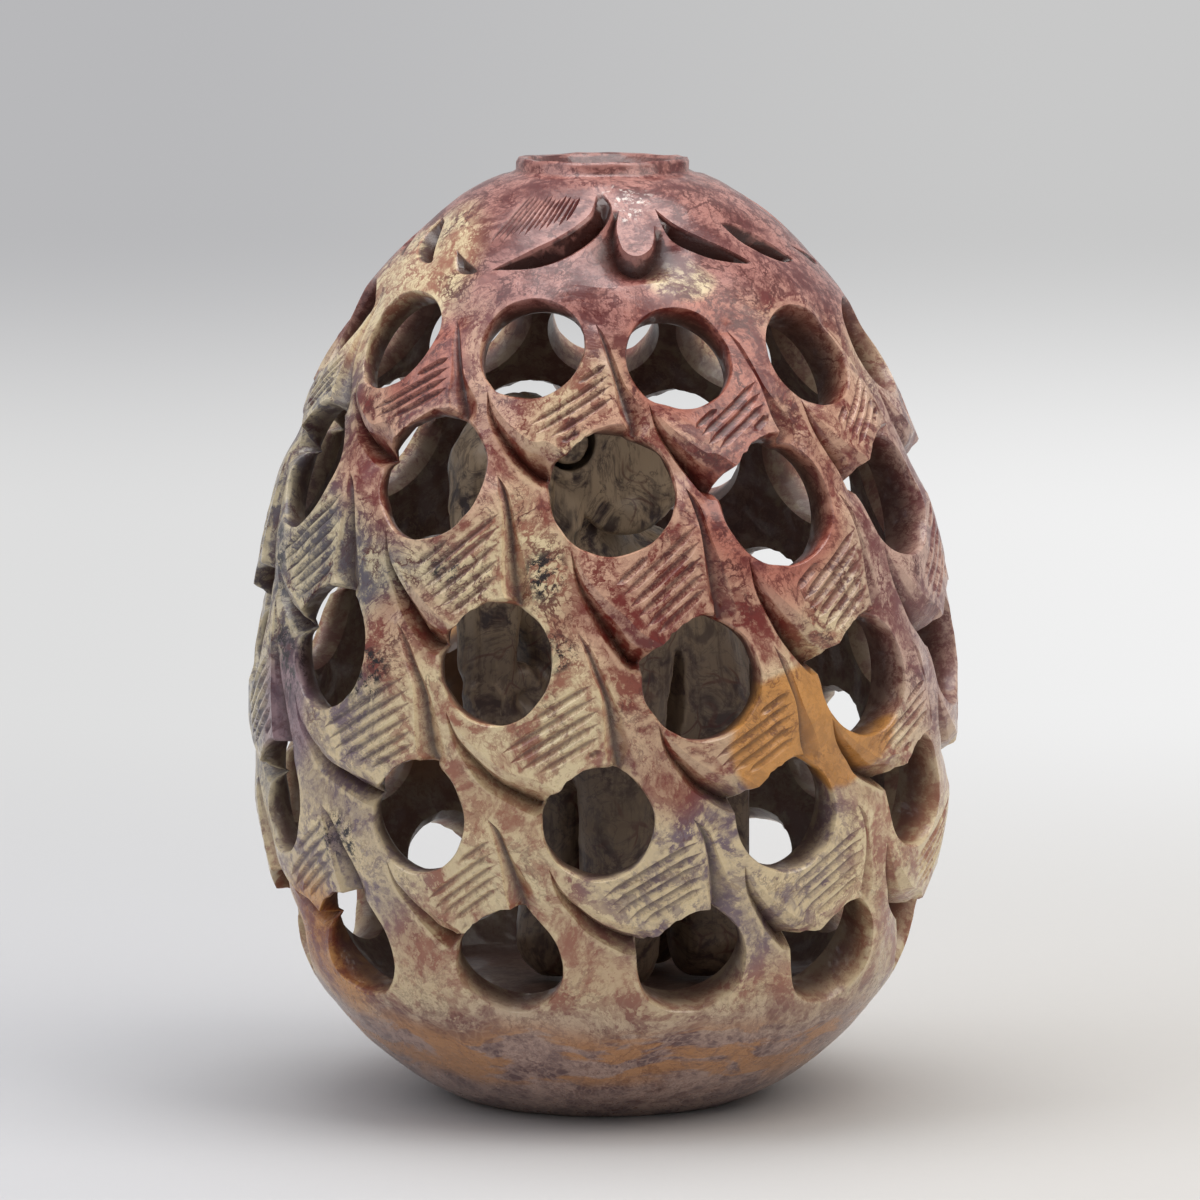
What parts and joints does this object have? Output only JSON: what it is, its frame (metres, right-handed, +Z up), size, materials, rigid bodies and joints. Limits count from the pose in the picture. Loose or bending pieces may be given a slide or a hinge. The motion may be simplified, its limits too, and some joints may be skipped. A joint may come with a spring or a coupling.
{
  "type": "pierced stone egg with inner figure",
  "caption": "Hand-carved soapstone egg on its own flat foot, with a pierced spiral lattice of hatched leaves and an elephant carved loose inside.",
  "frame": {"origin": "centre of the flat foot, on the surface that the egg stands on", "axes": "+Z up through the crown, front of the egg towards -Y, the elephant's head to the front left (-X, -Y)"},
  "size_m": [0.0576, 0.0576, 0.076],
  "materials": {
    "lower_stone": "polished soapstone, grey-violet and orange-tan mottle",
    "middle_stone": "carved soapstone, cream with brick-red and grey mottle",
    "upper_stone": "carved soapstone, dusty mauve-rose",
    "figure_stone": "rough-carved soapstone, dull grey-brown"
  },
  "bodies": {
    "egg": {"foot_bowl": "lower_stone", "lattice_row_4": "lower_stone", "lattice_row_3": "middle_stone", "lattice_row_2": "middle_stone", "lattice_row_1": "upper_stone", "crown_leaf_cap": "upper_stone", "top_collar": "upper_stone"},
    "elephant": {"inner_elephant": "figure_stone"}
  },
  "joints": [
    {"name": "elephant_turn", "type": "hinge", "parent": "egg", "child": "elephant", "pos_m": [0, 0, 0.009], "axis": [0, 0, 1], "continuous": true}
  ]
}
